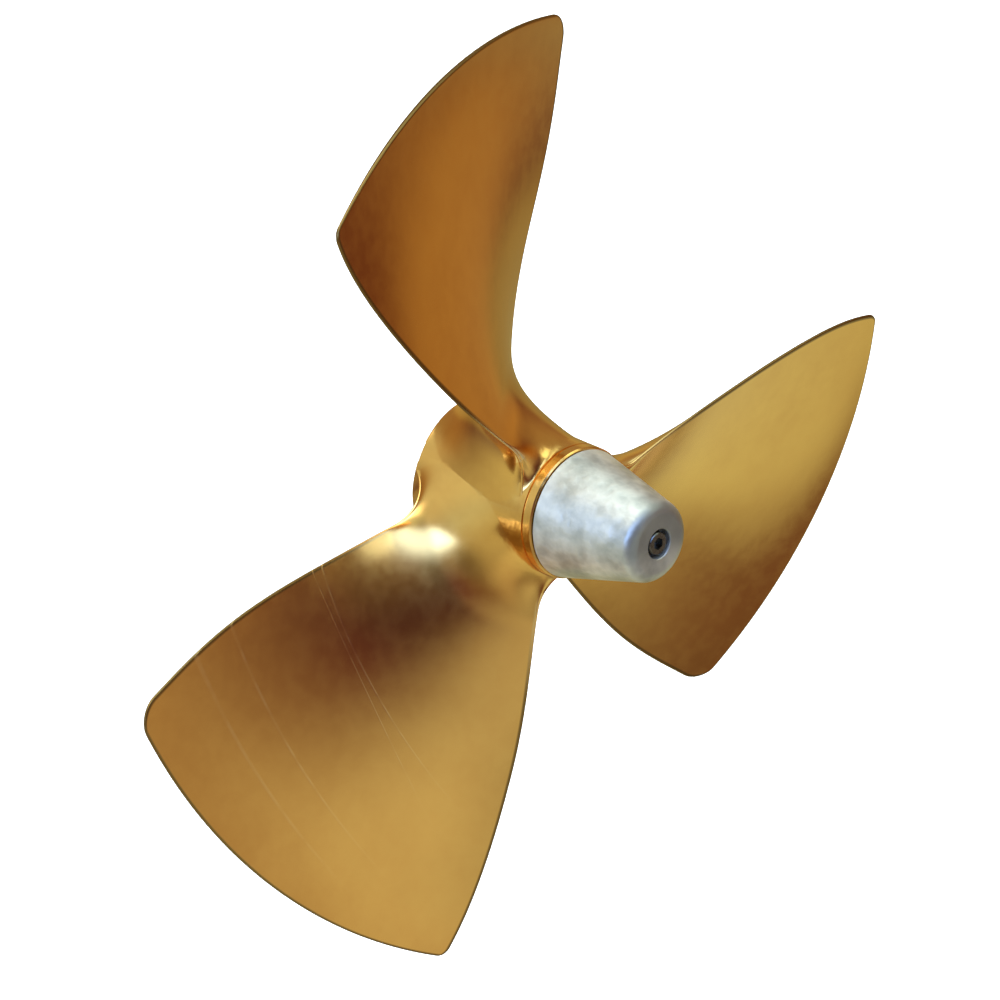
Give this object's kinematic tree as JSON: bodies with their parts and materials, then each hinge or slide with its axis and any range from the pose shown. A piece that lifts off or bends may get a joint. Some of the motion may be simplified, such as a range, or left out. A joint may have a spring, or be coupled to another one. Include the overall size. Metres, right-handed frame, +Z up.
{
  "type": "ship propeller",
  "caption": "Fixed-pitch ship propeller cast in one piece with its boss, with a zinc cone anode screwed over the shaft nut.",
  "frame": {"origin": "centre of the boss's forward face, on the shaft axis", "axes": "+X along the shaft axis, aft towards the zinc cone; +Z up through the middle of one blade's root; +Y to the right seen from aft looking forward along -X"},
  "size_m": [0.1443, 0.4884, 0.4821],
  "materials": {
    "bronze": "polished bronze with a fine brushed grain",
    "nut_bronze": "machined bronze",
    "zinc": "satin turned zinc",
    "steel": "bright stainless steel"
  },
  "bodies": {
    "root": {"propeller_casting": "bronze", "anode_cone": "zinc", "anode_screw": "steel", "screw_spring_washer": "steel", "shaft_nut": "nut_bronze", "nut_tab_washer": "steel"}
  },
  "joints": []
}
